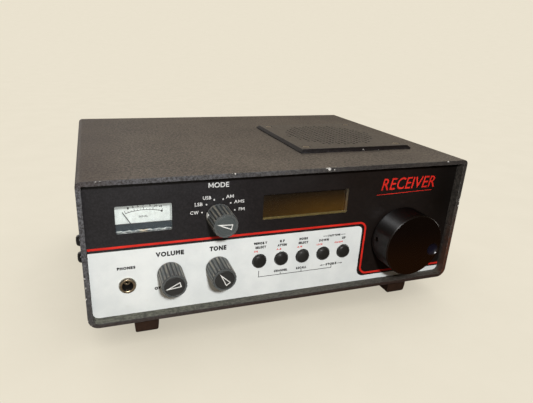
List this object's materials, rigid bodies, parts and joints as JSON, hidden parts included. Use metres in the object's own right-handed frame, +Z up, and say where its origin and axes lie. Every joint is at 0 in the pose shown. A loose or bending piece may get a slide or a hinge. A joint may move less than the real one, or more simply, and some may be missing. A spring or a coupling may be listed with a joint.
{
  "type": "short-wave communications receiver",
  "caption": "Table-top radio receiver in a low steel case with a recessed front panel, tuning knob, fluted control knobs, push buttons, signal meter, display window and speaker on top.",
  "frame": {"origin": "on the table under the middle of the set, at the bottom centre of its outer box", "axes": "+Z up, -Y towards the user at the front panel, +X to the user's right"},
  "size_m": [0.2598, 0.2042, 0.1076],
  "materials": {
    "cover_paint": "textured dark grey-brown stove paint",
    "cover_paint_lower": "textured dark grey-brown stove paint",
    "panel_metal": "satin",
    "panel_film": "semi-gloss screen-printed film, black, white and red areas",
    "rear_paint": "matt black",
    "zinc": "zinc plated",
    "black_screw": "black oxide",
    "foot_rubber": "moulded black-brown",
    "grille_plastic": "moulded, same tone as the case",
    "screw_steel": "slightly dulled",
    "basket": "black pressed steel",
    "magnet": "ferrite and zinc plates",
    "surround": "soft foam roll",
    "cone_paper": "pressed paper",
    "board": "solder-resisted glass fibre",
    "brass_post": "turned",
    "can_metal": "tinned",
    "capacitor_sleeve": "shrink sleeve",
    "chip_resin": "moulded resin",
    "cable_grey": "flat cable",
    "meter_black": "moulded",
    "clear_window": "clear acrylic",
    "scale_white": "matt white",
    "needle": "matt black",
    "smoked_window": "smoked acrylic",
    "lcd": "reflective display glass in a frame",
    "pot_steel": "pressed",
    "phenolic": "phenolic resin",
    "encoder_plastic": "moulded",
    "nickel": "worn nickel over brass",
    "switch_plastic": "moulded",
    "jack_plastic": "moulded",
    "socket_nickel": "nickel plated",
    "terminal_black": "moulded",
    "lever_red": "moulded",
    "lever_black": "moulded",
    "knob_grey": "satin, fluted",
    "cap_black": "satin",
    "shaft_steel": "ground",
    "tuning_black": "gloss",
    "button_black": "satin"
  },
  "bodies": {
    "receiver": {"top_cover": "cover_paint", "bottom_cover": "cover_paint_lower", "front_panel": "panel_metal", "front_overlay": "panel_film", "rear_panel": "rear_paint", "side_rails": "zinc", "chassis_screws": "zinc", "case_screws": "black_screw", "feet": "foot_rubber", "foot_screws": "zinc", "speaker_grille": "grille_plastic", "grille_screws": "screw_steel", "speaker_frame": "basket", "speaker_magnet": "magnet", "speaker_surround": "surround", "main_board": "board", "board_standoffs": "brass_post", "front_board": "board", "filter_cans": "can_metal", "shield_can": "can_metal", "capacitors": "capacitor_sleeve", "chips": "chip_resin", "ribbon_cable": "cable_grey", "meter_case": "meter_black", "meter_window": "clear_window", "meter_scale": "scale_white", "meter_magnet": "magnet", "display_window": "smoked_window", "lcd_module": "lcd", "control_pots": "pot_steel", "mode_switch": "phenolic", "tuning_encoder": "encoder_plastic", "panel_nuts": "nickel", "button_switches": "switch_plastic", "phones_jack": "jack_plastic", "antenna_socket": "socket_nickel", "terminal_block": "terminal_black", "line_jacks": "jack_plastic", "dc_jack": "jack_plastic"},
    "tuning": {"tuning_knob": "tuning_black", "tuning_grub_screw": "screw_steel", "tuning_shaft": "shaft_steel"},
    "volume": {"volume_knob": "knob_grey", "volume_cap": "cap_black", "volume_shaft": "shaft_steel"},
    "tone": {"tone_knob": "knob_grey", "tone_cap": "cap_black", "tone_shaft": "shaft_steel"},
    "mode": {"mode_knob": "knob_grey", "mode_cap": "cap_black", "mode_shaft": "shaft_steel"},
    "button_memory": {"button_memory": "button_black"},
    "button_store": {"button_store": "button_black"},
    "button_recall": {"button_recall": "button_black"},
    "button_down": {"button_down": "button_black"},
    "button_up": {"button_up": "button_black"},
    "meter_movement": {"meter_pointer": "needle"},
    "speaker_moving": {"speaker_cone": "cone_paper"},
    "lever_aerial": {"terminal_lever_aerial": "lever_red"},
    "lever_ground": {"terminal_lever_ground": "lever_black"}
  },
  "joints": [
    {"name": "tuning_turn", "type": "hinge", "parent": "receiver", "child": "tuning", "pos_m": [0.083, -0.083, 0.0507], "axis": [0, 1, 0], "continuous": true},
    {"name": "volume_turn", "type": "hinge", "parent": "receiver", "child": "volume", "pos_m": [-0.0778, -0.083, 0.0426], "axis": [0, 1, 0], "range_deg": [-38, 252]},
    {"name": "tone_turn", "type": "hinge", "parent": "receiver", "child": "tone", "pos_m": [-0.0481, -0.083, 0.0426], "axis": [0, 1, 0], "range_deg": [-98, 172]},
    {"name": "mode_turn", "type": "hinge", "parent": "receiver", "child": "mode", "pos_m": [-0.0481, -0.083, 0.0772], "axis": [0, 1, 0], "range_deg": [0, 150]},
    {"name": "button_memory_press", "type": "slide", "parent": "receiver", "child": "button_memory", "axis": [0, 1, 0], "range_m": [0, 0.001], "stiffness_N_per_m": 400, "springref_m": -0.0005},
    {"name": "button_store_press", "type": "slide", "parent": "receiver", "child": "button_store", "axis": [0, 1, 0], "range_m": [0, 0.001], "stiffness_N_per_m": 400, "springref_m": -0.0005},
    {"name": "button_recall_press", "type": "slide", "parent": "receiver", "child": "button_recall", "axis": [0, 1, 0], "range_m": [0, 0.001], "stiffness_N_per_m": 400, "springref_m": -0.0005},
    {"name": "button_down_press", "type": "slide", "parent": "receiver", "child": "button_down", "axis": [0, 1, 0], "range_m": [0, 0.001], "stiffness_N_per_m": 400, "springref_m": -0.0005},
    {"name": "button_up_press", "type": "slide", "parent": "receiver", "child": "button_up", "axis": [0, 1, 0], "range_m": [0, 0.001], "stiffness_N_per_m": 400, "springref_m": -0.0005},
    {"name": "meter_swing", "type": "hinge", "parent": "receiver", "child": "meter_movement", "pos_m": [-0.09165, -0.077, 0.0625], "axis": [0, 1, 0], "range_deg": [0, 58]},
    {"name": "cone_travel", "type": "slide", "parent": "receiver", "child": "speaker_moving", "axis": [0, 0, 1], "range_m": [-0.0008, 0.0008], "stiffness_N_per_m": 1500},
    {"name": "lever_aerial_press", "type": "hinge", "parent": "receiver", "child": "lever_aerial", "pos_m": [0.0534, 0.08075, 0.0655], "axis": [-1, 0, 0], "range_deg": [0, 12]},
    {"name": "lever_ground_press", "type": "hinge", "parent": "receiver", "child": "lever_ground", "pos_m": [0.0386, 0.08075, 0.0655], "axis": [-1, 0, 0], "range_deg": [0, 12]}
  ]
}
